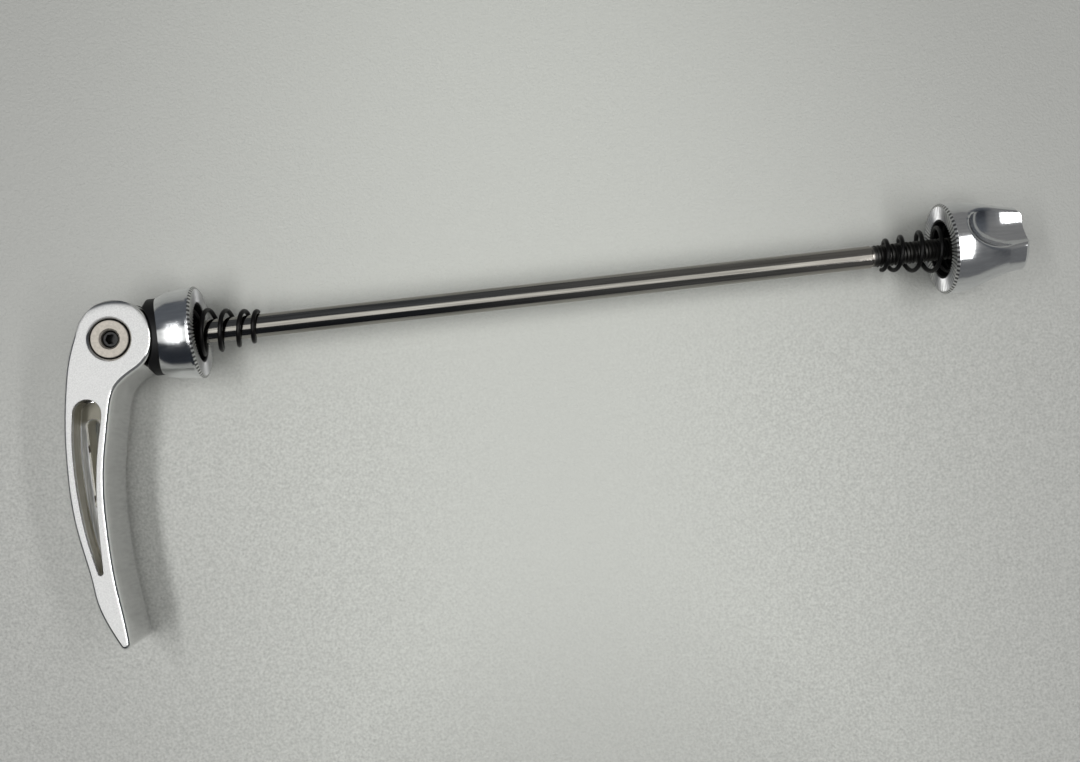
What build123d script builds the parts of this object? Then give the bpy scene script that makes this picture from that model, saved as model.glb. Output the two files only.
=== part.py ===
from build123d import *
import math
import os

# A quick release skewer, lying with its lever closed. Sizes are in millimetres.
# X runs along the rod from the lever to the nut. The lever's arm points along -Y.
# Z is the lever's pivot axis and points up.
# The origin is the centre of the clamp washer's serrated face.

# Fits and clearances
shaft_fit = 0.05
seat_fit = 0.02
rod_clearance = 0.3
cam_gap = 0.15
spring_rod_gap = 0.05

# Rod
rod_d = 5.0
neck_d = 4.6
neck_length = 0.9
thread_d = 4.85
thread_start = 146.5
thread_length = 26.0
thread_end_chamfer = 0.6

# Pivot barrel and its lock screw
pivot_x = -17.2
barrel_d = 8.1
barrel_length = 15.0
barrel_chamfer = 0.25
rod_grip = 2.4
screw_d = 3.66
screw_sink = 0.98
screw_bevel = 0.35
socket_flats = 2.0
socket_depth = 2.0

# Lever
lever_thickness = 15.6
head_r = 8.0
cam_offset = 0.85
arm_length = 64.05
edge_round = 1.0
bore_bevel = 0.6
crown_round = 2.6
crown_reach = 2.0
crown_shift = 4.0
leave_angle = 155
join_angle = -61
outer_edge = [(0.052, -9.02), (0.148, -10.3), (0.259, -11.23), (0.414, -11.71), (0.6, -11.04), (0.765, -9.11)]
inner_edge = [(0.776, -3.78), (0.632, -4.27), (0.419, -3.78), (0.324, -2.72), (0.228, -1.44), (0.166, -0.03)]
tip_r = 1.15
tip_offset = -3.45
tip_outer_lean = 28
tip_inner_lean = 3

# Slot in the lever's arm: a pocket from each side, and a window punched through the web between them
slot_round = 0.3
slot_depth = 5.0
slot_floor_round = 0.4
slot_top = (0.233, -6.15)
slot_top_r = 2.85
slot_bottom = (0.7455, -6.75)
slot_bottom_r = 0.5
slot_left = [(0.31, -9.63), (0.407, -9.85), (0.602, -9.03)]
slot_right = [(0.51, -6.06), (0.32, -4.38)]
slot_top_leans = (-8, 8)
slot_bottom_leans = (13, 0)
window_top = (0.272, -6.6)
window_top_r = 1.3
window_bottom = (0.53, -7.3)
window_bottom_r = 0.4
window_bevel = 0.3

# Clamp washer
rim_r = 9.85
washer_length = 8.5
washer_end_r = 8.2
washer_swell = [(6.4, 9.1), (3.5, 9.5)]
washer_rim = 1.0
mouth_r = 6.5
rim_round = 0.4
saddle_r = 23.0
saddle_depth = 7.0

# Cam seat
flange_r = 8.2
flange_lip = 1.7
horn_r = 6.2
horn_height = 3.5
liner_wall = 0.4
liner_set_back = 0.3
pocket_depth = 3.4

# Clamp face teeth
tooth_count = 60
tooth_band = 0.55
tooth_width = 0.62
tooth_depth = 0.42
tooth_slope = 35
tooth_overrun = 1.0

# Springs
wire_d = 1.0
large_coil_r = 5.2
first_turn = 1.2
lever_middle_turn = 3.8
nut_middle_turn = 4.15
middle_turns = 3
last_turn = 2.6
coil_phase = 99
points_per_turn = 8

# Adjusting nut
nut_face_x = 161.3
nut_length = 16.9
nut_rim_length = 3.15
nut_recess = 5.0
nut_end_r = 6.7
nut_land = [(7.4, 9.4), (11.8, 8.3), (16.1, 7.41)]
scallop_count = 3
scallop_first = 21.5
scallop_axis_r = 12.0
scallop_lip = 0.9
scallop_floor = [(3.05, 10.6), (3.31, 9.84), (4.69, 7.8), (7.48, 6.0), (10.75, 5.1), (14.4, 4.95), (17.6, 5.05)]

# Values that follow from the sizes above
rod_r = rod_d / 2
rod_start = pivot_x - rod_grip
thread_end = thread_start + thread_length
cam_x = pivot_x + cam_offset
cam_seat_r = head_r + cam_offset + cam_gap
seat_hole_r = rod_r + rod_clearance
saddle_x = -saddle_depth - saddle_r
screw_foot = rod_r + seat_fit
screw_length = barrel_length / 2 - screw_sink - screw_foot
small_coil_r = rod_r + spring_rod_gap + wire_d / 2
coil_start = wire_d / 2 - pocket_depth
coil_turns = middle_turns + 2
nut_bore_r = thread_d / 2 + shaft_fit


def on_round(centre, radius, angle):
    """A point on a round of the lever's outline."""
    turn = math.radians(angle)
    return (centre[0] + radius * math.cos(turn), centre[1] + radius * math.sin(turn))


def on_head(angle):
    """A point on the round of the lever's head."""
    return on_round((cam_x, 0), head_r, angle)


def on_tip(angle):
    """A point on the round of the lever's tip."""
    return on_round((pivot_x + tip_offset, tip_r - arm_length), tip_r, angle)


def by_arm(share, offset):
    """A point beside the lever's arm, a share of the way from the pivot to the tip."""
    return (pivot_x + offset, -share * arm_length)


def heading(angle):
    """A direction in the lever's plane."""
    turn = math.radians(angle)
    return (math.cos(turn), math.sin(turn))


def coil_point(turn, face_x, way, middle_turn):
    """A point on a spring's wire. It rises tightly at both ends and leads away from a clamp face."""
    middle = min(max(turn - 1, 0), middle_turns)
    last = max(turn - 1 - middle_turns, 0)
    rise = first_turn * min(turn, 1) + middle_turn * middle + last_turn * last
    coil_rise = first_turn + middle_turn * middle_turns + last_turn
    radius = large_coil_r + (small_coil_r - large_coil_r) * rise / coil_rise
    angle = 2 * math.pi * turn + math.radians(coil_phase)
    along = face_x + way * (coil_start + rise)
    return (along, way * radius * math.sin(angle), radius * math.cos(angle))


def coil_points(face_x, way, middle_turn):
    """The points of a whole spring, from the large coil to the small one."""
    steps = coil_turns * points_per_turn
    return [coil_point(i / points_per_turn, face_x, way, middle_turn) for i in range(steps + 1)]


os.makedirs("parts", exist_ok=True)

# The rod: plain steel, a short neck and a threaded end
with BuildPart() as skewer_rod:
    with BuildSketch(Plane.XY):
        with BuildLine():
            Polyline(
                (rod_start, 0),
                (rod_start, rod_r),
                (thread_start - neck_length, rod_r),
                (thread_start - neck_length, neck_d / 2),
                (thread_start, neck_d / 2),
                (thread_start, thread_d / 2),
                (thread_end - thread_end_chamfer, thread_d / 2),
                (thread_end, thread_d / 2 - thread_end_chamfer),
                (thread_end, 0),
                close=True,
            )
        make_face()
    revolve(axis=Axis.X)
skewer_rod.part.label = "skewer_rod"
export_step(skewer_rod.part, "parts/skewer_rod.step")

# The pivot barrel: a cross pin with a blind hole for the rod and a screw hole from its top end
with BuildPart() as pivot_barrel:
    with BuildSketch(Plane.XY.offset(-barrel_length / 2)):
        with Locations((pivot_x, 0)):
            Circle(barrel_d / 2)
    extrude(amount=barrel_length)
    barrel_ends = pivot_barrel.edges().group_by(Axis.Z)
    chamfer(barrel_ends[0] + barrel_ends[-1], length=barrel_chamfer)
    with BuildSketch(Plane.YZ.offset(rod_start)):
        Circle(rod_r + seat_fit)
    extrude(amount=barrel_d, mode=Mode.SUBTRACT)
    with BuildSketch(Plane.XY):
        with Locations((pivot_x, 0)):
            Circle(screw_d / 2 + seat_fit)
    extrude(amount=barrel_length, mode=Mode.SUBTRACT)
    screw_mouth = pivot_barrel.faces().sort_by(Axis.Z)[-1].inner_wires()[0].edges()
    chamfer(screw_mouth, length=screw_bevel)
pivot_barrel.part.label = "pivot_barrel"
export_step(pivot_barrel.part, "parts/pivot_barrel.step")

# The lock screw: it stands on the rod inside the barrel
with BuildPart() as barrel_lock_screw:
    with BuildSketch(Plane.XY.offset(screw_foot)):
        with Locations((pivot_x, 0)):
            Circle(screw_d / 2)
    extrude(amount=screw_length)
    chamfer(barrel_lock_screw.edges().group_by(Axis.Z)[-1], length=screw_bevel)
    with BuildSketch(Plane.XY.offset(screw_foot + screw_length)):
        with Locations((pivot_x, 0)):
            RegularPolygon(radius=socket_flats / 2, side_count=6, major_radius=False)
    extrude(amount=-socket_depth, mode=Mode.SUBTRACT)
barrel_lock_screw.part.label = "barrel_lock_screw"
export_step(barrel_lock_screw.part, "parts/barrel_lock_screw.step")

# The lever: a curved arm with an eccentric round head, forked for the rod
with BuildPart() as lever:
    with BuildSketch(Plane.XY.offset(-lever_thickness / 2)):
        with BuildLine():
            outer = Spline(
                on_head(leave_angle),
                *[by_arm(*p) for p in outer_edge],
                on_tip(180 + tip_outer_lean),
                tangents=[heading(leave_angle + 90), heading(tip_outer_lean - 90)],
            )
            tip = ThreePointArc(outer @ 1, on_tip(-90), on_tip(tip_inner_lean))
            inner = Spline(
                tip @ 1,
                *[by_arm(*p) for p in inner_edge],
                on_head(join_angle),
                tangents=[heading(90 + tip_inner_lean), heading(join_angle + 90)],
            )
            ThreePointArc(inner @ 1, on_head((leave_angle + join_angle) / 2), outer @ 0)
        make_face()
    extrude(amount=lever_thickness)
    lever_sides = lever.faces().sort_by(Axis.Z)
    fillet(lever_sides[0].edges() + lever_sides[-1].edges(), radius=edge_round)
    # the wider rounding round the far end of the head, which runs out at its sides
    crown_start = head_r + crown_shift - crown_reach
    crown_plane = Plane(origin=(cam_x, -crown_shift, 0), x_dir=(1, 0, 0), z_dir=(0, -1, 0))
    with BuildSketch(crown_plane) as crown:
        with BuildLine():
            crown_arc = CenterArc(
                center=(crown_start, lever_thickness / 2 - crown_round),
                radius=crown_round,
                start_angle=0,
                arc_size=90,
            )
            Polyline(
                crown_arc @ 1,
                (crown_start, lever_thickness),
                (crown_start + crown_round, lever_thickness),
                crown_arc @ 0,
            )
        make_face()
        mirror(about=Plane.XZ)
    revolve(axis=Axis((cam_x, -crown_shift, 0), (0, 0, 1)), revolution_arc=180, mode=Mode.SUBTRACT)
    # the long slot, a pocket from each side
    web = lever_thickness - 2 * slot_depth
    for way in (1, -1):
        with BuildSketch(Plane.XY.offset(way * web / 2)):
            with BuildLine():
                left = Spline(
                    on_round(by_arm(*slot_top), slot_top_r, 180 + slot_top_leans[0]),
                    *[by_arm(*p) for p in slot_left],
                    on_round(by_arm(*slot_bottom), slot_bottom_r, 180 + slot_bottom_leans[0]),
                    tangents=[heading(slot_top_leans[0] - 90), heading(slot_bottom_leans[0] - 90)],
                )
                right = Spline(
                    on_round(by_arm(*slot_bottom), slot_bottom_r, -slot_bottom_leans[1]),
                    *[by_arm(*p) for p in slot_right],
                    on_round(by_arm(*slot_top), slot_top_r, -slot_top_leans[1]),
                    tangents=[heading(90 - slot_bottom_leans[1]), heading(90 - slot_top_leans[1])],
                )
                ThreePointArc(left @ 1, on_round(by_arm(*slot_bottom), slot_bottom_r, -90), right @ 0)
                ThreePointArc(right @ 1, on_round(by_arm(*slot_top), slot_top_r, 90), left @ 0)
            make_face()
        extrude(amount=way * lever_thickness, mode=Mode.SUBTRACT)
    lever_flats = lever.faces().filter_by(Axis.Z).sort_by(Axis.Z)
    slot_edges = lever_flats[0].inner_wires()[0].edges() + lever_flats[-1].inner_wires()[0].edges()
    fillet(slot_edges, radius=slot_round)
    # the window through the web
    with BuildSketch(Plane.XY):
        with Locations(by_arm(*window_top)):
            Circle(window_top_r)
        with Locations(by_arm(*window_bottom)):
            Circle(window_bottom_r)
        make_hull()
    extrude(amount=web, both=True, mode=Mode.SUBTRACT)
    web_sides = lever.faces().filter_by(Axis.Z).sort_by(Axis.Z)[1:3]
    chamfer([e for side in web_sides for e in side.inner_wires()[0].edges()], length=window_bevel)
    web_sides = lever.faces().filter_by(Axis.Z).sort_by(Axis.Z)[1:3]
    fillet([e for side in web_sides for e in side.outer_wire().edges()], radius=slot_floor_round)
    # the fork that swings past the rod
    with BuildSketch(Plane.XY):
        with Locations((cam_x, -rod_r - rod_clearance)):
            Rectangle(4 * head_r, 2 * head_r, align=(Align.CENTER, Align.MIN))
    extrude(amount=rod_r + rod_clearance, both=True, mode=Mode.SUBTRACT)
    # the bore for the barrel, bevelled at both sides
    with BuildSketch(Plane.XY):
        with Locations((pivot_x, 0)):
            Circle(barrel_d / 2 + shaft_fit)
    extrude(amount=lever_thickness, both=True, mode=Mode.SUBTRACT)
    bore_rims = lever.edges().filter_by(GeomType.CIRCLE).group_by(Axis.Z)
    bore_r = barrel_d / 2 + shaft_fit
    low_rim = bore_rims[0].filter_by(lambda e: abs(e.radius - bore_r) < 0.001)
    high_rim = bore_rims[-1].filter_by(lambda e: abs(e.radius - bore_r) < 0.001)
    chamfer(low_rim + high_rim, length=bore_bevel)
lever.part.label = "lever"
export_step(lever.part, "parts/lever.step")

# The cam seat: a saddle for the cam, a tube that lines the washer and a pocket for the spring
with BuildPart() as cam_seat:
    lip_x = saddle_x + math.sqrt(saddle_r**2 - flange_r**2)
    horn_x = lip_x - horn_height
    with BuildSketch(Plane.XY):
        with BuildLine():
            Polyline(
                (horn_x, 0),
                (horn_x, horn_r),
                (lip_x - flange_lip, flange_r),
                (0, flange_r),
                (0, 0),
                close=True,
            )
        make_face()
    revolve(axis=Axis.X)
    with BuildSketch(Plane.XY):
        with Locations((saddle_x, 0)):
            Circle(saddle_r)
    extrude(amount=2 * flange_r, both=True, mode=Mode.INTERSECT)
    with BuildSketch(Plane.YZ.offset(lip_x)):
        Circle(mouth_r - seat_fit)
    extrude(amount=-lip_x - liner_set_back)
    with BuildSketch(Plane.XY):
        with Locations((pivot_x, 0)):
            Circle(cam_seat_r)
    extrude(amount=2 * flange_r, both=True, mode=Mode.SUBTRACT)
    with BuildSketch(Plane.YZ.offset(-pocket_depth)):
        Circle(mouth_r - seat_fit - liner_wall)
    extrude(amount=pocket_depth, mode=Mode.SUBTRACT)
    with BuildSketch(Plane.YZ.offset(horn_x)):
        Circle(seat_hole_r)
    extrude(amount=-horn_x, mode=Mode.SUBTRACT)
cam_seat.part.label = "cam_seat"
export_step(cam_seat.part, "parts/cam_seat.step")

# The clamp washer: a tapered cup with a saddle at the lever end and a toothed clamping face
with BuildPart() as clamp_washer:
    with BuildSketch(Plane.XY):
        with BuildLine():
            swell = Spline(
                (-washer_length, washer_end_r),
                *[(-x, r) for x, r in washer_swell],
                (-washer_rim, rim_r),
            )
            Polyline(
                swell @ 1,
                (-rim_round, rim_r),
                (0, rim_r - rim_round),
                (0, mouth_r),
                (-washer_length, mouth_r),
                swell @ 0,
            )
        make_face()
    revolve(axis=Axis.X)
    with BuildSketch(Plane.XY):
        with Locations((saddle_x, 0)):
            Circle(saddle_r)
    extrude(amount=2 * rim_r, both=True, mode=Mode.SUBTRACT)
    washer_face = Plane(origin=(0, 0, 0), x_dir=(0, 1, 0), z_dir=(-1, 0, 0))
    tooth_reach = rim_r - tooth_band - mouth_r + tooth_overrun
    with BuildSketch(washer_face):
        with PolarLocations(rim_r - tooth_band - tooth_reach / 2, tooth_count):
            Rectangle(tooth_reach, tooth_width)
    extrude(amount=tooth_depth, taper=tooth_slope, mode=Mode.SUBTRACT)
clamp_washer.part.label = "clamp_washer"
export_step(clamp_washer.part, "parts/clamp_washer.step")

# The two conical springs
with BuildPart() as lever_spring:
    with BuildLine() as lever_coil:
        Spline(*coil_points(0, 1, lever_middle_turn))
    with BuildSketch(Plane(origin=lever_coil.line @ 0, z_dir=lever_coil.line % 0)):
        Circle(wire_d / 2)
    sweep(path=lever_coil.line, is_frenet=True)
lever_spring.part.label = "lever_spring"
export_step(lever_spring.part, "parts/lever_spring.step")

with BuildPart() as nut_spring:
    with BuildLine() as nut_coil:
        Spline(*coil_points(nut_face_x, -1, nut_middle_turn))
    with BuildSketch(Plane(origin=nut_coil.line @ 0, z_dir=nut_coil.line % 0)):
        Circle(wire_d / 2)
    sweep(path=nut_coil.line, is_frenet=True)
nut_spring.part.label = "nut_spring"
export_step(nut_spring.part, "parts/nut_spring.step")

# The adjusting nut: a toothed rim, a tapered body and finger scallops round it
with BuildPart() as adjusting_nut:
    with BuildSketch(Plane.XY):
        with BuildLine():
            rim = Polyline(
                (nut_face_x, 0),
                (nut_face_x, rim_r - rim_round),
                (nut_face_x + rim_round, rim_r),
                (nut_face_x + nut_rim_length, rim_r),
            )
            body = Spline(rim @ 1, *[(nut_face_x + x, r) for x, r in nut_land])
            Polyline(
                body @ 1,
                (nut_face_x + nut_length, nut_end_r),
                (nut_face_x + nut_length, 0),
                (nut_face_x, 0),
            )
        make_face()
    revolve(axis=Axis.X)
    for i in range(scallop_count):
        turn = math.radians(scallop_first + 360 * i / scallop_count)
        side = Vector(0, math.sin(turn), math.cos(turn))
        scallop_plane = Plane(origin=(nut_face_x, 0, 0), x_dir=(1, 0, 0), z_dir=Vector(1, 0, 0).cross(side))
        with BuildSketch(scallop_plane):
            with BuildLine():
                floor = Spline(*scallop_floor)
                Polyline(
                    floor @ 1,
                    (scallop_floor[-1][0], scallop_axis_r),
                    (scallop_floor[0][0], scallop_axis_r),
                    floor @ 0,
                )
            make_face()
        revolve(axis=Axis(tuple(side * scallop_axis_r), (1, 0, 0)), mode=Mode.SUBTRACT)
    scallop_lips = adjusting_nut.edges().filter_by(GeomType.BSPLINE).sort_by(SortBy.LENGTH)[-scallop_count:]
    fillet(scallop_lips, radius=scallop_lip)
    with BuildSketch(Plane.YZ.offset(nut_face_x)):
        Circle(mouth_r)
    extrude(amount=nut_recess, mode=Mode.SUBTRACT)
    with BuildSketch(Plane.YZ.offset(nut_face_x)):
        Circle(nut_bore_r)
    extrude(amount=nut_length, mode=Mode.SUBTRACT)
    nut_face = Plane(origin=(nut_face_x, 0, 0), x_dir=(0, 1, 0), z_dir=(1, 0, 0))
    with BuildSketch(nut_face):
        with PolarLocations(rim_r - tooth_band - tooth_reach / 2, tooth_count):
            Rectangle(tooth_reach, tooth_width)
    extrude(amount=tooth_depth, taper=tooth_slope, mode=Mode.SUBTRACT)
adjusting_nut.part.label = "adjusting_nut"
export_step(adjusting_nut.part, "parts/adjusting_nut.step")

# The plastic insert: it lines the nut's mouth, holds the spring and grips the thread
with BuildPart() as nut_insert:
    with BuildSketch(Plane.YZ.offset(nut_face_x + liner_set_back)):
        Circle(mouth_r - seat_fit)
    extrude(amount=nut_recess - liner_set_back)
    with BuildSketch(Plane.YZ.offset(nut_face_x)):
        Circle(mouth_r - seat_fit - liner_wall)
    extrude(amount=pocket_depth, mode=Mode.SUBTRACT)
    with BuildSketch(Plane.YZ.offset(nut_face_x)):
        Circle(nut_bore_r)
    extrude(amount=nut_recess, mode=Mode.SUBTRACT)
nut_insert.part.label = "nut_insert"
export_step(nut_insert.part, "parts/nut_insert.step")
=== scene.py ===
import logging
import math
from dataclasses import dataclass, field
from enum import Enum

import bmesh
import bpy
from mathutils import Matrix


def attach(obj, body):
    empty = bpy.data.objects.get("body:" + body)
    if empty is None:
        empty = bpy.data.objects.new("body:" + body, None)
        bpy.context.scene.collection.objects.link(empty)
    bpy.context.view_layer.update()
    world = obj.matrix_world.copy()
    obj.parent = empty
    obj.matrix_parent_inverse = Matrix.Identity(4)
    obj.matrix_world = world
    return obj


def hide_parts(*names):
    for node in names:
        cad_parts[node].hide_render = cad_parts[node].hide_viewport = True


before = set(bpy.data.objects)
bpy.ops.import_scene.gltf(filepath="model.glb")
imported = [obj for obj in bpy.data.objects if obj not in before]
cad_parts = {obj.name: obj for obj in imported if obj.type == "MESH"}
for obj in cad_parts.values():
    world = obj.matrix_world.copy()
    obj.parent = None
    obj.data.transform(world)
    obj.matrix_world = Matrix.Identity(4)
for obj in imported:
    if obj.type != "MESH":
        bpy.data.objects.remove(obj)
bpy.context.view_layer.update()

log = logging.getLogger("skewer")
Colour = tuple[float, float, float, float]
Range = tuple[float, float]
Socket = bpy.types.NodeSocket
Value = Socket | float | tuple[float, ...]
MM = 0.001
WELD = 0.001 * MM
QUAD = 4
SMOOTH_BELOW = 35.0
CONTRAST: Range = (0.3, 0.7)


class Body(Enum):
    """The moving body that the new piece rides on."""

    ROD = "rod"


class Slot(Enum):
    """The material slot that the new piece takes its finish from."""

    ROD_STEEL = "rod_steel"


class MixKind(Enum):
    """What a mix node mixes, with the places of its two inputs and its output."""

    COLOUR = ("RGBA", 6, 7, 2)
    NUMBER = ("FLOAT", 2, 3, 0)


@dataclass(frozen=True)
class Noise:
    """A noise, with a stretch per metre where its grain runs one way."""

    scale: float = 1.0
    detail: float = 3.0
    rough: float = 0.55
    stretch: tuple[float, float, float] | None = None


@dataclass(frozen=True)
class Bump:
    """How far a height of 1 raises the surface, and how strongly that shows."""

    depth: float
    strength: float = 1.0


class Graph:
    """A node tree, with short calls that add and join its nodes."""

    def __init__(self, tree: bpy.types.NodeTree, shader: str, place: str) -> None:
        """Take up a node tree.

        Args:
            tree: the node tree.
            shader: the name of its shader node.
            place: the coordinates that it is read by.
        """
        self.tree = tree
        self.shader = tree.nodes[shader]
        self.place = self.add("ShaderNodeTexCoord").outputs[place]
        split = self.add("ShaderNodeSeparateXYZ")
        self.feed(split.inputs[0], self.place)
        self.x, self.y, self.z = split.outputs

    @classmethod
    def start(cls, name: str) -> tuple["Graph", bpy.types.Material]:
        """Start a node material.

        Args:
            name: the material's name.

        Returns:
            Its graph and the material.
        """
        material = bpy.data.materials.new(name)
        material.use_nodes = True
        return cls(material.node_tree, "Principled BSDF", "Object"), material

    def add(self, kind: str, **settings: str) -> bpy.types.Node:
        """Add one node.

        Args:
            kind: the node's type.
            settings: properties set on the node.

        Returns:
            The new node.
        """
        node = self.tree.nodes.new(kind)
        for name, value in settings.items():
            setattr(node, name, value)
        return node

    def feed(self, socket: Socket, value: Value) -> None:
        """Set a socket to a value, or link it to another socket.

        Args:
            socket: the input to fill.
            value: a number, a colour, a vector or an output socket.
        """
        if isinstance(value, Socket):
            self.tree.links.new(value, socket)
        else:
            socket.default_value = value

    def math(self, operation: str, *values: Value) -> Socket:
        """Join numbers with one operation.

        Args:
            operation: the math node's operation.
            values: numbers or output sockets.

        Returns:
            The result's socket.
        """
        node = self.add("ShaderNodeMath", operation=operation)
        for socket, value in zip(node.inputs, values):
            self.feed(socket, value)
        return node.outputs[0]

    def product(self, first: Value, second: Value) -> Socket:
        """Multiply two numbers."""
        return self.math("MULTIPLY", first, second)

    def apart(self, first: Value, second: Value) -> Socket:
        """Measure how far apart two numbers are."""
        return self.math("ABSOLUTE", self.math("SUBTRACT", first, second))

    def diagonal(self, first: Socket, second: Socket) -> Socket:
        """Measure the long side over two sides that meet squarely.

        Args:
            first: one side.
            second: the other side.

        Returns:
            The length's socket.
        """
        squares = [self.product(side, side) for side in (first, second)]
        return self.math("SQRT", self.math("ADD", *squares))

    def reach(self, x: float) -> Socket:
        """Measure how far the surface is from an upright line that stands at x on the rod's axis."""
        return self.diagonal(self.math("SUBTRACT", self.x, x), self.y)

    def between(self, value: Socket, low: Value, high: float, start: float = 0.0, end: float = 1.0) -> Socket:
        """Ease a number from one value to another over a range.

        Args:
            value: the number's socket.
            low: where the change begins.
            high: where the change ends.
            start: the result at low.
            end: the result at high.

        Returns:
            The eased number's socket.
        """
        node = self.add("ShaderNodeMapRange", interpolation_type="SMOOTHSTEP")
        for socket, item in zip(node.inputs, (value, low, high, start, end)):
            self.feed(socket, item)
        return node.outputs[0]

    def around(self, value: Socket, middle: float, spread: float) -> Socket:
        """Spread a number from 0 to 1 evenly about a middle.

        Args:
            value: the number's socket.
            middle: the result at a half.
            spread: how far apart the results at 0 and 1 are.

        Returns:
            The spread number's socket.
        """
        return self.math("MULTIPLY_ADD", value, spread, middle - spread / 2)

    def stretched(self, scale: tuple[float, float, float]) -> Socket:
        """Scale the coordinates, for a grain that runs one way.

        Args:
            scale: the scale along x, y and z, per metre.

        Returns:
            The scaled vector's socket.
        """
        node = self.add("ShaderNodeMapping")
        self.feed(node.inputs["Vector"], self.place)
        node.inputs["Scale"].default_value = scale
        return node.outputs[0]

    def noise(self, noise: Noise) -> Socket:
        """Add a noise.

        Args:
            noise: its scale, detail and stretch.

        Returns:
            The noise's value socket.
        """
        node = self.add("ShaderNodeTexNoise")
        self.feed(node.inputs["Vector"], self.stretched(noise.stretch) if noise.stretch else self.place)
        node.inputs["Scale"].default_value = noise.scale
        node.inputs["Detail"].default_value = noise.detail
        node.inputs["Roughness"].default_value = noise.rough
        return node.outputs["Fac"]

    def join(self, kind: MixKind, share: Value, first: Value, second: Value) -> Socket:
        """Mix two values.

        Args:
            kind: what is mixed.
            share: the second value's share.
            first: a value or a socket.
            second: a value or a socket.

        Returns:
            The mixed value's socket.
        """
        data_type, first_place, second_place, result = kind.value
        node = self.add("ShaderNodeMix", data_type=data_type)
        self.feed(node.inputs[0], share)
        self.feed(node.inputs[first_place], first)
        self.feed(node.inputs[second_place], second)
        return node.outputs[result]

    def mix(self, share: Value, first: Value, second: Value) -> Socket:
        """Mix two colours by the second one's share."""
        return self.join(MixKind.COLOUR, share, first, second)

    def blend(self, share: Value, first: Value, second: Value) -> Socket:
        """Mix two numbers by the second one's share."""
        return self.join(MixKind.NUMBER, share, first, second)

    def bump(self, height: Socket, bump: Bump) -> None:
        """Raise the surface a little by a height, on top of any bump already there.

        Args:
            height: a number from 0 to 1.
            bump: how far and how strongly it is raised.
        """
        node = self.add("ShaderNodeBump")
        self.feed(node.inputs["Height"], height)
        node.inputs["Distance"].default_value = bump.depth
        node.inputs["Strength"].default_value = bump.strength
        below = self.shader.inputs["Normal"].links
        if below:
            self.feed(node.inputs["Normal"], below[0].from_socket)
        self.feed(self.shader.inputs["Normal"], node.outputs[0])


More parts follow.
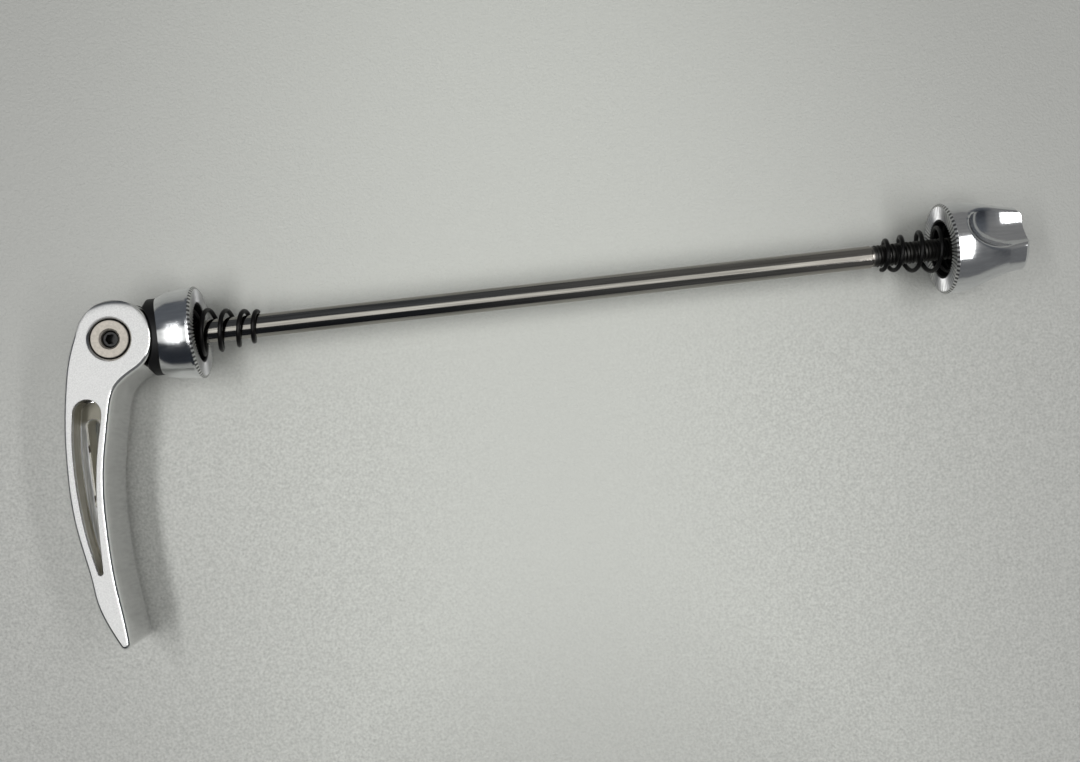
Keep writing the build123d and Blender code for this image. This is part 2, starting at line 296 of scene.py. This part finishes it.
@dataclass(frozen=True)
class SatinAluminium:
    """The lever's finish: a fine satin on its two flats, polished edges and a raw slot, with painted light,
    shade, highlights and reflections in the slot, on the head's rounded edge and in the gaps.
    """

    pivot: float
    name: str = "lever_aluminium"
    colour: Colour = (0.88, 0.88, 0.875, 1.0)
    shade: Colour = (0.73, 0.73, 0.725, 1.0)
    grain: Noise = Noise(4200.0, 2.0, 0.6)
    grain_range: Range = (0.25, 0.75)
    grain_bump: Bump = Bump(0.012 * MM, 0.6)
    clouds: Noise = Noise(300.0)
    cloud_bump: Bump = Bump(0.02 * MM, 0.35)
    streaks: Noise = Noise(detail=4.0, rough=0.65, stretch=(2200.0, 90.0, 900.0))
    streak_bump: Bump = Bump(0.02 * MM, 0.6)
    satin: float = 0.8
    satin_spread: float = 0.16
    polish: float = 0.15
    polish_spread: float = 0.1
    slot_rough: float = 0.3
    # The slot's raw walls: their own unpolished tone, tinted olive and lightened as a painted reflection of the
    # shaded table below.
    raw: Colour = (0.62, 0.59, 0.505, 1.0)
    raw_streak: Colour = (0.8, 0.775, 0.69, 1.0)
    # Painted light: the walls below the web, which lie in shade, are painted near-white.
    lower_wall_painted_light: Colour = (0.95, 0.92, 0.83, 1.0)
    lower_wall_light_range: Range = (2.4 * MM, 2.3 * MM)
    # The web's dark blue-grey with lighter streaks is a painted reflection, not the metal's own tone.
    web: Colour = (0.16, 0.163, 0.168, 1.0)
    web_streak: Colour = (0.42, 0.425, 0.43, 1.0)
    # Painted shade: the web's upper end, darkened where it lies in shade.
    web_painted_shade: Colour = (0.1, 0.096, 0.08, 1.0)
    web_shade_range: Range = (-17.5 * MM, -16.0 * MM)
    wall_range: Range = (2.9 * MM, 3.0 * MM)
    # Painted highlight: a white line along the web's torn edge, broken by painted shade where the edge is dark.
    torn: Colour = (0.95, 0.95, 0.94, 1.0)
    torn_shade: Colour = (0.1, 0.09, 0.08, 1.0)
    torn_low: Range = (2.45 * MM, 2.5 * MM)
    torn_high: Range = (2.79 * MM, 2.77 * MM)
    torn_shade_range: Range = (0.42, 0.36)
    # Painted highlight: a white band along the slot's upper lip.
    lip: Colour = (0.97, 0.97, 0.965, 1.0)
    lip_highlight_range: Range = (6.55 * MM, 6.65 * MM)
    slot_middle: float = -32.0 * MM
    slot_reach: float = 17.0 * MM
    slot_over: float = 1.15
    slot_bow: float = 1.35 * MM
    slot_aside: float = -6.4 * MM
    slot_halves: Range = (1.4 * MM, 3.8 * MM)
    slot_ends: Range = (-47.7 * MM, -14.9 * MM)
    slot_depth: Range = (7.45 * MM, 7.25 * MM)
    flat_from: float = 7.72 * MM
    flat_to: float = 7.79 * MM
    crown_range: Range = (0.5 * MM, 4.5 * MM)
    crown_drop: float = 0.55 * MM
    # Painted reflection: the dark grey that the rounded edge of the head reflects, painted into its colour.
    crown_painted_shade: Colour = (0.3, 0.302, 0.305, 1.0)
    crown_shade_fade: float = 1.3 * MM
    # Painted shade: near-black colour where shade falls round the bore, between the fork's cheeks and on the
    # cam's face.
    gap_shade: Colour = (0.012, 0.012, 0.012, 1.0)
    bore_range: Range = (4.5 * MM, 4.1 * MM)
    fork_sides: Range = (3.2 * MM, 3.0 * MM)
    fork_end: Range = (-3.2 * MM, -3.0 * MM)
    cam_sides: Range = (7.0 * MM, 6.7 * MM)
    cam_from: float = 5.5 * MM
    cam_to: float = 7.0 * MM

    def slot_mask(self, graph: Graph) -> Socket:
        """Mark the walls and the web inside the slot.

        Args:
            graph: the material's graph.

        Returns:
            A socket that is 1 inside the slot.
        """
        along = graph.math("DIVIDE", graph.math("SUBTRACT", graph.y, self.slot_middle), self.slot_reach)
        bow = graph.math("MULTIPLY_ADD", graph.product(along, along), self.slot_bow, -self.slot_bow)
        aside = graph.apart(graph.x, graph.math("ADD", bow, self.pivot + self.slot_aside))
        half = graph.between(graph.y, *self.slot_ends, *self.slot_halves)
        inside = graph.math("LESS_THAN", aside, half)
        within = graph.math("LESS_THAN", graph.math("ABSOLUTE", along), self.slot_over)
        deep = graph.between(graph.math("ABSOLUTE", graph.z), *self.slot_depth)
        return graph.product(graph.product(inside, within), deep)

    def flat_mask(self, graph: Graph) -> Socket:
        """Mark the two flats, and the rounded far end of the head that shares their satin.

        Args:
            graph: the material's graph.

        Returns:
            A socket that is 1 on the satin.
        """
        low = graph.between(graph.y, *self.crown_range, self.flat_from, self.flat_from - self.crown_drop)
        return graph.between(graph.math("ABSOLUTE", graph.z), low, self.flat_to)

    def crown_shade_mask(self, graph: Graph) -> Socket:
        """Mark the rounded edge round the far end of the head, which is darkened with a painted dark reflection.

        Args:
            graph: the material's graph.

        Returns:
            A socket that rises to 1 down the edge.
        """
        fall = graph.between(graph.math("ABSOLUTE", graph.z), self.flat_to, self.flat_to - self.crown_shade_fade)
        return graph.product(fall, graph.between(graph.y, *self.crown_range))

    def gap_shade_mask(self, graph: Graph) -> Socket:
        """Mark the painted shade in the gaps: round the bore, in the fork and on the cam's face.

        Args:
            graph: the material's graph.

        Returns:
            A socket that is 1 in the painted shade.
        """
        depth = graph.math("ABSOLUTE", graph.z)
        ring = graph.between(graph.reach(self.pivot), *self.bore_range)
        fork = graph.product(graph.between(depth, *self.fork_sides), graph.between(graph.y, *self.fork_end))
        facing = graph.between(graph.x, self.pivot + self.cam_from, self.pivot + self.cam_to)
        cam = graph.product(facing, graph.between(depth, *self.cam_sides))
        return graph.math("MAXIMUM", ring, graph.math("MAXIMUM", fork, cam))

    def slot_colour(self, graph: Graph, runs: Socket, clouds: Socket) -> Socket:
        """Colour the inside of the slot: raw walls in a painted reflection with painted light low down and a
        painted highlight on the lip, and a web in painted reflection and shade with a painted highlight along
        its torn edge.

        Args:
            graph: the material's graph.
            runs: streaks along the slot.
            clouds: blotches, which break up the torn edge.

        Returns:
            The colour's socket.
        """
        depth = graph.math("ABSOLUTE", graph.z)
        # The walls' olive tone is partly their own and partly a painted reflection of the shaded table.
        wall = graph.mix(runs, self.raw, self.raw_streak)
        # Painted reflection: the web is painted dark blue-grey with lighter streaks.
        web = graph.mix(runs, self.web, self.web_streak)
        # Painted shade: darken the web's upper end.
        web = graph.mix(graph.between(graph.y, *self.web_shade_range), web, self.web_painted_shade)
        inside = graph.mix(graph.between(depth, *self.wall_range), web, wall)
        # Painted light: the shaded walls below the web are painted near-white.
        inside = graph.mix(graph.between(graph.z, *self.lower_wall_light_range), inside, self.lower_wall_painted_light)
        edge = graph.product(graph.between(depth, *self.torn_low), graph.between(depth, *self.torn_high))
        # Painted highlight along the torn edge, broken up by painted shade.
        torn = graph.mix(graph.between(clouds, *self.torn_shade_range), self.torn, self.torn_shade)
        inside = graph.mix(edge, inside, torn)
        # Painted highlight on the slot's lip.
        return graph.mix(graph.between(depth, *self.lip_highlight_range), inside, self.lip)

    def material(self) -> bpy.types.Material:
        """Make the material.

        Returns:
            The material.
        """
        graph, material = Graph.start(self.name)
        shader = graph.shader
        shader.inputs["Metallic"].default_value = 1.0
        flat, slot = self.flat_mask(graph), self.slot_mask(graph)
        grain, clouds, streaks = (graph.noise(noise) for noise in (self.grain, self.clouds, self.streaks))
        speckle = graph.blend(flat, clouds, graph.between(grain, *self.grain_range))
        metal = graph.mix(speckle, self.shade, self.colour)
        # Painted reflection: darken the rounded edge round the head's far end.
        metal = graph.mix(self.crown_shade_mask(graph), metal, self.crown_painted_shade)
        metal = graph.mix(slot, metal, self.slot_colour(graph, graph.between(streaks, *CONTRAST), clouds))
        # Painted shade: the gaps round the bore, in the fork and at the cam's face are painted near-black.
        graph.feed(shader.inputs["Base Color"], graph.mix(self.gap_shade_mask(graph), metal, self.gap_shade))
        satin = graph.around(grain, self.satin, self.satin_spread)
        polish = graph.around(clouds, self.polish, self.polish_spread)
        polish = graph.math("MULTIPLY_ADD", slot, self.slot_rough, polish)
        graph.feed(shader.inputs["Roughness"], graph.blend(flat, polish, satin))
        graph.bump(graph.product(grain, flat), self.grain_bump)
        graph.bump(graph.product(streaks, slot), self.streak_bump)
        graph.bump(clouds, self.cloud_bump)
        return material


@dataclass(frozen=True)
class PolishedAluminium:
    """The clamp washer's and the nut's finish: polished, with faint turning lines and toothed faces."""

    name: str = "polished_aluminium"
    colour: Colour = (0.83, 0.84, 0.85, 1.0)
    shade: Colour = (0.68, 0.69, 0.705, 1.0)
    lines: Noise = Noise(rough=0.7, stretch=(7000.0, 30.0, 30.0))
    line_bump: Bump = Bump(0.003 * MM, 0.5)
    streaks: Noise = Noise(detail=4.0, rough=0.6, stretch=(160.0, 1500.0, 1500.0))
    streak_bump: Bump = Bump(0.02 * MM, 0.5)
    streak_share: float = 0.6
    streak_rough: float = 0.1
    clouds: Noise = Noise(420.0)
    cloud_bump: Bump = Bump(0.02 * MM, 0.3)
    polish: float = 0.1
    polish_spread: float = 0.08
    teeth: Colour = (0.74, 0.74, 0.735, 1.0)
    # Painted shade: near-black lines in the grooves between the teeth.
    groove_shade: Colour = (0.12, 0.12, 0.125, 1.0)
    groove_shade_range: Range = (0.1 * MM, 0.36 * MM)
    notch_range: Range = (-0.4, 0.4)
    rim_range: Range = (9.36 * MM, 9.42 * MM)
    teeth_rough: float = 0.4
    teeth_count: float = 60.0
    teeth_faces: Range = (0.0, 161.3 * MM)
    teeth_range: Range = (0.55 * MM, 0.5 * MM)
    crease: float = 164.45 * MM
    crease_run: float = 9.0 * MM
    crease_bump: Bump = Bump(0.4 * MM)

    def tooth_masks(self, graph: Graph) -> tuple[Socket, Socket]:
        """Mark the toothed faces, and the painted shade in the grooves between the teeth.

        Args:
            graph: the material's graph.

        Returns:
            A socket that is 1 on the faces, and one that is 1 in the grooves.
        """
        deep = graph.math("MINIMUM", *(graph.apart(graph.x, face) for face in self.teeth_faces))
        turn = graph.product(graph.math("ARCTAN2", graph.z, graph.y), self.teeth_count)
        notch = graph.between(graph.math("COSINE", turn), *self.notch_range)
        rim = graph.between(graph.diagonal(graph.y, graph.z), *self.rim_range)
        groove_shade = graph.blend(rim, graph.between(deep, *self.groove_shade_range), notch)
        return graph.between(deep, *self.teeth_range), groove_shade

    def material(self) -> bpy.types.Material:
        """Make the material.

        Returns:
            The material.
        """
        graph, material = Graph.start(self.name)
        shader = graph.shader
        shader.inputs["Metallic"].default_value = 1.0
        lines, streaks, clouds = (graph.noise(noise) for noise in (self.lines, self.streaks, self.clouds))
        wear = graph.blend(self.streak_share, clouds, graph.between(streaks, *CONTRAST))
        toothed, groove_shade = self.tooth_masks(graph)
        metal = graph.mix(wear, self.shade, self.colour)
        # Painted shade in the grooves between the teeth.
        metal = graph.mix(toothed, metal, graph.mix(groove_shade, self.teeth, self.groove_shade))
        graph.feed(shader.inputs["Base Color"], metal)
        rough = graph.around(lines, self.polish, self.polish_spread)
        rough = graph.math("MULTIPLY_ADD", streaks, self.streak_rough, rough)
        graph.feed(shader.inputs["Roughness"], graph.blend(toothed, rough, self.teeth_rough))
        behind = graph.math("DIVIDE", graph.math("SUBTRACT", self.crease, graph.x), self.crease_run)
        graph.bump(graph.math("MAXIMUM", graph.math("MINIMUM", behind, 0.0), -1.0), self.crease_bump)
        graph.bump(lines, self.line_bump)
        graph.bump(streaks, self.streak_bump)
        graph.bump(clouds, self.cloud_bump)
        return material


@dataclass(frozen=True)
class DrawnSteel:
    """The rod's finish: dark drawn steel with streaks along it, and a black thread."""

    name: str = "rod_steel"
    colour: Colour = (0.39, 0.376, 0.348, 1.0)
    streak: Colour = (0.22, 0.211, 0.195, 1.0)
    streaks: Noise = Noise(detail=4.0, rough=0.65, stretch=(45.0, 2600.0, 2600.0))
    streak_bump: Bump = Bump(0.004 * MM, 0.5)
    blotches: Noise = Noise(stretch=(220.0, 500.0, 500.0))
    rough: float = 0.05
    streak_rough: float = 0.1
    blotch_rough: float = 0.04
    warm: Colour = (0.33, 0.305, 0.28, 1.0)
    warm_range: Range = (118.0 * MM, 145.4 * MM)
    thread: Colour = (0.05, 0.049, 0.047, 1.0)
    thread_rough: float = 0.48
    thread_range: Range = (145.4 * MM, 146.4 * MM)

    def material(self) -> bpy.types.Material:
        """Make the material.

        Returns:
            The material.
        """
        graph, material = Graph.start(self.name)
        shader = graph.shader
        shader.inputs["Metallic"].default_value = 1.0
        streaks, blotches = graph.noise(self.streaks), graph.noise(self.blotches)
        steel = graph.mix(graph.between(streaks, *CONTRAST), self.streak, self.colour)
        heat = graph.product(graph.between(graph.x, *self.warm_range), blotches)
        steel = graph.mix(heat, steel, self.warm)
        black = graph.between(graph.x, *self.thread_range)
        graph.feed(shader.inputs["Base Color"], graph.mix(black, steel, self.thread))
        rough = graph.math("MULTIPLY_ADD", streaks, self.streak_rough, self.rough)
        rough = graph.math("MULTIPLY_ADD", blotches, self.blotch_rough, rough)
        graph.feed(shader.inputs["Roughness"], graph.blend(black, rough, self.thread_rough))
        graph.bump(streaks, self.streak_bump)
        return material


@dataclass(frozen=True)
class TurnedSteel:
    """The barrel's finish: warm steel with fine rings from the lathe, and a painted shade ring in the gap round
    its rim.
    """

    centre: float
    name: str = "turned_steel"
    colour: Colour = (0.47, 0.437, 0.392, 1.0)
    shade: Colour = (0.336, 0.314, 0.28, 1.0)
    clouds: Noise = Noise(1800.0, 4.0)
    rough: float = 0.6
    rough_spread: float = 0.2
    ring_scale: float = 9000.0
    ring_bump: Bump = Bump(0.004 * MM, 0.5)
    # Painted shade: a near-black ring where shade falls in the gap between the barrel and the lever.
    gap_shade: Colour = (0.012, 0.012, 0.012, 1.0)
    gap_shade_range: Range = (3.85 * MM, 3.98 * MM)

    def material(self) -> bpy.types.Material:
        """Make the material.

        Returns:
            The material.
        """
        graph, material = Graph.start(self.name)
        shader = graph.shader
        shader.inputs["Metallic"].default_value = 1.0
        reach = graph.reach(self.centre)
        ring = graph.add("ShaderNodeTexNoise", noise_dimensions="1D")
        graph.feed(ring.inputs["W"], reach)
        ring.inputs["Scale"].default_value = self.ring_scale
        clouds = graph.noise(self.clouds)
        steel = graph.mix(graph.between(clouds, *CONTRAST), self.shade, self.colour)
        # Painted shade in the gap round the barrel's rim.
        steel = graph.mix(graph.between(reach, *self.gap_shade_range), steel, self.gap_shade)
        graph.feed(shader.inputs["Base Color"], steel)
        graph.feed(shader.inputs["Roughness"], graph.around(clouds, self.rough, self.rough_spread))
        graph.bump(ring.outputs["Fac"], self.ring_bump)
        return material


@dataclass(frozen=True)
class BlackFinish:
    """A black finish: blackened steel or moulded nylon."""

    name: str
    colour: Colour
    shade: Colour
    metal: float
    rough: float
    grain: Noise
    grain_bump: Bump = Bump(0.006 * MM, 0.5)
    clouds: Noise = Noise(500.0)
    rough_spread: float = 0.2
    sheen: float = 0.22

    def material(self) -> bpy.types.Material:
        """Make the material.

        Returns:
            The material.
        """
        graph, material = Graph.start(self.name)
        shader = graph.shader
        shader.inputs["Metallic"].default_value = self.metal
        shader.inputs["Specular IOR Level"].default_value = self.sheen
        grain, clouds = graph.noise(self.grain), graph.noise(self.clouds)
        graph.feed(shader.inputs["Base Color"], graph.mix(clouds, self.shade, self.colour))
        graph.feed(shader.inputs["Roughness"], graph.around(grain, self.rough, self.rough_spread))
        graph.bump(grain, self.grain_bump)
        return material


@dataclass(frozen=True)
class TableTop:
    """The pale table under the skewer, with painted shade that darkens it away from the middle and towards the
    front, and a painted shading of its peel that grows to the front and the sides.
    """

    name: str = "table_top"
    colour: Colour = (0.59, 0.602, 0.565, 1.0)
    # Painted shade: the darker tone the table fades to away from the middle and towards the front.
    edge: Colour = (0.395, 0.398, 0.379, 1.0)
    centre: Range = (0.075, -0.03)
    depth_share: float = 0.35
    fade_range: Range = (0.01, 0.13)
    front_range: Range = (-0.05, -0.125)
    front_share: float = 0.6
    peel: Noise = Noise(1700.0, 2.0, 0.5)
    peel_middle: float = 0.5
    peel_bump: Bump = Bump(0.14 * MM)
    # Painted shade: where the peel's colour speckle grows to stand in for its shading under raking light.
    peel_shading_range: Range = (0.01, -0.03)
    peel_shading_reach: Range = (0.0, 0.06)
    fine_spread: float = 0.08
    peel_shading_spread: float = 0.75
    rough: float = 0.5

    def material(self) -> bpy.types.Material:
        """Make the material.

        Returns:
            The material.
        """
        graph, material = Graph.start(self.name)
        shader = graph.shader
        ahead = graph.product(graph.math("SUBTRACT", graph.y, self.centre[1]), self.depth_share)
        aside = graph.diagonal(graph.math("SUBTRACT", graph.x, self.centre[0]), ahead)
        front = graph.between(graph.y, *self.front_range, 0.0, self.front_share)
        # Painted shade: the table darkens away from the middle and towards the front.
        painted_falloff = graph.math("MAXIMUM", graph.between(aside, *self.fade_range), front)
        peel = graph.noise(self.peel)
        # The peel's texture is real, while its stronger colour speckle to the front and sides is painted shading
        # of it.
        peel_shading = graph.between(graph.y, *self.peel_shading_range)
        peel_shading = graph.product(peel_shading, graph.between(aside, *self.peel_shading_reach))
        spread = graph.blend(peel_shading, self.fine_spread, self.peel_shading_spread)
        tone = graph.add("ShaderNodeVectorMath", operation="SCALE")
        graph.feed(tone.inputs["Vector"], graph.mix(painted_falloff, self.colour, self.edge))
        speckle = graph.math("MULTIPLY_ADD", graph.math("SUBTRACT", peel, self.peel_middle), spread, 1.0)
        graph.feed(tone.inputs["Scale"], speckle)
        graph.feed(shader.inputs["Base Color"], tone.outputs[0])
        shader.inputs["Roughness"].default_value = self.rough
        graph.bump(peel, self.peel_bump)
        return material


def lathe(mesh: bmesh.types.BMesh, outline: list[tuple[float, float]], steps: int) -> None:
    """Spin an outline round the rod's axis into a closed shell.

    Args:
        mesh: the mesh to add it to.
        outline: points along the rod and out from it, in metres.
        steps: how many steps the turn has.
    """
    points = [mesh.verts.new((along, 0.0, out)) for along, out in outline]
    edges = [mesh.edges.new(pair) for pair in zip(points, points[1:])]
    bmesh.ops.spin(
        mesh,
        geom=points + edges,
        cent=(0.0, 0.0, 0.0),
        axis=(1.0, 0.0, 0.0),
        angle=math.tau,
        steps=steps,
        use_merge=True,
    )
    bmesh.ops.remove_doubles(mesh, verts=mesh.verts, dist=WELD)


def finished(name: str, mesh: bmesh.types.BMesh, material: bpy.types.Material) -> bpy.types.Object:
    """Turn a mesh into an object at the origin, with outward faces and a finish.

    Args:
        name: the piece's name.
        mesh: its mesh, which is used up.
        material: its finish.

    Returns:
        The new object.
    """
    bmesh.ops.recalc_face_normals(mesh, faces=mesh.faces)
    for face in mesh.faces:
        face.smooth = True
    for edge in mesh.edges:
        edge.smooth = edge.is_manifold and edge.calc_face_angle() < math.radians(SMOOTH_BELOW)
    data = bpy.data.meshes.new(name)
    mesh.to_mesh(data)
    mesh.free()
    data.materials.append(material)
    piece = bpy.data.objects.new(name, data)
    bpy.context.scene.collection.objects.link(piece)
    return piece


def dress(node: str, material: bpy.types.Material) -> None:
    """Give a CAD node a finish.

    Args:
        node: the node's name.
        material: its finish.
    """
    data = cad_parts[node].data
    data.materials.clear()
    data.materials.append(material)
    log.info("dressed %s with %s", node, material.name)


@dataclass
class Rod:
    """The long rod with its neck and its rolled thread."""

    finish: DrawnSteel = field(default_factory=DrawnSteel)
    radius: float = 2.5 * MM
    start: float = -19.6 * MM
    bevel: float = 0.15 * MM
    neck_start: float = 145.6 * MM
    neck_radius: float = 2.3 * MM
    thread_start: float = 146.5 * MM
    thread_end: float = 172.5 * MM
    crest: float = 2.42 * MM
    root: float = 1.98 * MM
    pitch: float = 0.8 * MM
    flanks: tuple[float, float, float, float] = (0.12, 0.42, 0.58, 0.88)
    point: float = 0.6 * MM
    rim_reach: float = 0.01 * MM
    round_steps: int = 72
    turn_steps: int = 30
    spare_turns: int = 2

    def shaft(self, mesh: bmesh.types.BMesh) -> None:
        """Add the plain shaft and its neck.

        Args:
            mesh: the mesh to add them to.
        """
        neck_end = self.thread_start + self.pitch
        outline = [
            (self.start, 0.0),
            (self.start, self.radius),
            (self.neck_start - self.bevel, self.radius),
            (self.neck_start, self.radius - self.bevel),
            (self.neck_start, self.neck_radius),
            (neck_end, self.neck_radius - self.bevel),
            (neck_end, 0.0),
        ]
        lathe(mesh, outline, self.round_steps)

    def wind(self, wound: bmesh.types.BMesh) -> None:
        """Wind one pitch of the thread's outline along the rod, past both ends of the thread.

        Args:
            wound: the mesh to add it to.
        """
        rise, top, fall, foot = self.flanks
        outs = (self.root, self.root, self.crest, self.crest, self.root, self.root)
        begin = self.thread_start - self.spare_turns * self.pitch
        shares = (0.0, rise, top, fall, foot, 1.0)
        points = [wound.verts.new((begin + share * self.pitch, 0.0, out)) for share, out in zip(shares, outs)]
        edges = [wound.edges.new(pair) for pair in zip(points, points[1:])]
        turns = math.ceil((self.thread_end - begin) / self.pitch) + self.spare_turns
        bmesh.ops.spin(
            wound,
            geom=points + edges,
            cent=(0.0, 0.0, 0.0),
            axis=(1.0, 0.0, 0.0),
            dvec=(self.pitch / self.turn_steps, 0.0, 0.0),
            angle=math.tau * turns,
            steps=self.turn_steps * turns,
        )
        bmesh.ops.remove_doubles(wound, verts=wound.verts, dist=WELD)

    def trim(self, wound: bmesh.types.BMesh) -> None:
        """Cut the wound thread off square, taper its point and close its ends.

        Args:
            wound: the wound thread.
        """
        for cut, side in ((self.thread_start, -1.0), (self.thread_end, 1.0)):
            bmesh.ops.bisect_plane(
                wound,
                geom=wound.verts[:] + wound.edges[:] + wound.faces[:],
                plane_co=(cut, 0.0, 0.0),
                plane_no=(side, 0.0, 0.0),
                clear_outer=True,
            )
        for vert in wound.verts:
            reach = math.hypot(vert.co.y, vert.co.z)
            most = self.root + max(0.0, self.thread_end - self.point / 2 - vert.co.x)
            if reach > most:
                vert.co.y *= most / reach
                vert.co.z *= most / reach
        for cut in (self.thread_start, self.thread_end):
            rim = [e for e in wound.edges if e.is_boundary and abs(e.verts[0].co.x - cut) < self.rim_reach]
            bmesh.ops.contextual_create(wound, geom=rim)
        bmesh.ops.triangulate(wound, faces=[f for f in wound.faces if len(f.verts) > QUAD])

    def thread(self, mesh: bmesh.types.BMesh) -> None:
        """Add the thread, wound and trimmed in a mesh of its own.

        Args:
            mesh: the mesh to add it to.
        """
        wound = bmesh.new()
        self.wind(wound)
        self.trim(wound)
        data = bpy.data.meshes.new("thread_part")
        wound.to_mesh(data)
        wound.free()
        mesh.from_mesh(data)
        bpy.data.meshes.remove(data)

    def build(self) -> None:
        """Make the rod in place of its plain node."""
        mesh = bmesh.new()
        self.shaft(mesh)
        self.thread(mesh)
        piece = finished("threaded_rod", mesh, self.finish.material())
        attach(piece, Body.ROD.value)
        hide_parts("skewer_rod")
        log.info("built %s with %d faces", piece.name, len(piece.data.polygons))


@dataclass
class LeverHead:
    """The cam lever with its pivot barrel and lock screw."""

    pivot: float = -17.2 * MM

    def build(self, black_steel: bpy.types.Material) -> None:
        """Dress the lever, the barrel and the screw.

        Args:
            black_steel: the screw's finish.
        """
        dress("lever", SatinAluminium(self.pivot).material())
        dress("pivot_barrel", TurnedSteel(self.pivot).material())
        dress("barrel_lock_screw", black_steel)


@dataclass
class ClampEnds:
    """The two clamping ends: washer, seat, nut, insert and springs."""

    def build(self, black_steel: bpy.types.Material, black_nylon: bpy.types.Material) -> None:
        """Dress the pieces of both ends.

        Args:
            black_steel: the springs' finish.
            black_nylon: the finish of the seat and the insert.
        """
        polished = PolishedAluminium().material()
        for node in ("clamp_washer", "adjusting_nut"):
            dress(node, polished)
        for node in ("lever_spring", "nut_spring"):
            dress(node, black_steel)
        for node in ("cam_seat", "nut_insert"):
            dress(node, black_nylon)


@dataclass
class Studio:
    """The table, the light and the camera."""

    floor: float = -9.85 * MM
    reach: float = 1.5
    table_cells: int = 2
    strip_size: Range = (0.054, 0.43)
    strip_places: tuple[tuple[float, float, float], ...] = ((-0.168, -0.014, 0.42), (0.348, -0.08, 0.42))
    strip_power: float = 0.95
    near_wall: Colour = (0.022, 0.025, 0.031, 1.0)
    near_side: Colour = (0.14, 0.143, 0.147, 1.0)
    far_wall: Colour = (0.1, 0.108, 0.12, 1.0)
    far_side: Colour = (0.2, 0.2, 0.198, 1.0)
    far_range: Range = (-0.5, 0.5)
    side_start: Range = (-0.1, 0.25)
    side_end: Range = (0.92, 0.75)
    ceiling: Colour = (1.36, 1.36, 1.32, 1.0)
    ceiling_middle: float = -0.09
    ceiling_half: Range = (0.45, 0.28)
    ceiling_left: Range = (-2.4, -1.6)
    ceiling_right: Range = (0.62, 0.45)
    dim_range: Range = (-0.9, -0.45)
    dim_share: float = 0.5
    lowest_rise: float = 0.05
    eye: tuple[float, float, float] = (0.060058, -0.02489, 0.258283)
    gaze: tuple[float, float, float] = (1.64289, -2.19071, -6.62845)
    lens: float = 39.94
    sensor: float = 36.0
    nearest: float = 0.01

    def table(self) -> None:
        """Lay the table under the skewer."""
        mesh = bmesh.new()
        bmesh.ops.create_grid(mesh, x_segments=self.table_cells, y_segments=self.table_cells, size=self.reach)
        bmesh.ops.translate(mesh, verts=mesh.verts, vec=(0.0, 0.0, self.floor))
        finished("table", mesh, TableTop().material())

    def lamps(self) -> None:
        """Hang a strip lamp at each end of the skewer."""
        for i, place in enumerate(self.strip_places):
            name = f"strip_lamp_{i}"
            lamp = bpy.data.lights.new(name, "AREA")
            lamp.shape = "RECTANGLE"
            lamp.size, lamp.size_y = self.strip_size
            lamp.energy = self.strip_power
            strip = bpy.data.objects.new(name, lamp)
            strip.location = place
            bpy.context.scene.collection.objects.link(strip)

    def room(self) -> None:
        """Give the room its soft light: a pale ceiling, blue-grey on the far side, dark on the near side."""
        world = bpy.data.worlds.new("room")
        world.use_nodes = True
        bpy.context.scene.world = world
        graph = Graph(world.node_tree, "Background", "Generated")
        rise = graph.math("MAXIMUM", graph.z, self.lowest_rise)
        along = graph.math("DIVIDE", graph.x, rise)
        across = graph.apart(graph.math("DIVIDE", graph.y, rise), self.ceiling_middle)
        band = graph.product(graph.between(along, *self.ceiling_left), graph.between(along, *self.ceiling_right))
        band = graph.product(band, graph.between(along, *self.dim_range, self.dim_share))
        band = graph.product(band, graph.between(across, *self.ceiling_half))
        side = graph.product(graph.between(graph.x, *self.side_start), graph.between(graph.x, *self.side_end))
        near = graph.mix(side, self.near_wall, self.near_side)
        far = graph.mix(side, self.far_wall, self.far_side)
        walls = graph.mix(graph.between(graph.y, *self.far_range), near, far)
        graph.feed(graph.shader.inputs["Color"], graph.mix(band, walls, self.ceiling))

    def camera(self) -> None:
        """Stand the camera over the table."""
        data = bpy.data.cameras.new("camera")
        data.sensor_width = self.sensor
        data.sensor_fit = "HORIZONTAL"
        data.lens = self.lens
        data.clip_start = self.nearest
        camera = bpy.data.objects.new("camera", data)
        camera.location = self.eye
        camera.rotation_euler = [math.radians(angle) for angle in self.gaze]
        bpy.context.scene.collection.objects.link(camera)
        bpy.context.scene.camera = camera

    def build(self) -> None:
        """Set up the table, the light, the camera and the view."""
        self.table()
        self.lamps()
        self.room()
        self.camera()
        bpy.context.scene.view_settings.view_transform = "Standard"


def main() -> None:
    """Build and dress the skewer, then the studio."""
    logging.basicConfig(level=logging.INFO)
    black_steel = BlackFinish(
        name="black_steel",
        colour=(0.016, 0.0155, 0.015, 1.0),
        shade=(0.008, 0.008, 0.0085, 1.0),
        metal=0.7,
        rough=0.34,
        grain=Noise(3000.0),
    ).material()
    black_nylon = BlackFinish(
        name="black_nylon",
        colour=(0.007, 0.007, 0.0075, 1.0),
        shade=(0.004, 0.004, 0.0045, 1.0),
        metal=0.0,
        rough=0.5,
        grain=Noise(4000.0),
    ).material()
    Rod().build()
    LeverHead().build(black_steel)
    ClampEnds().build(black_steel, black_nylon)
    Studio().build()


if __name__ == "__main__":
    main()
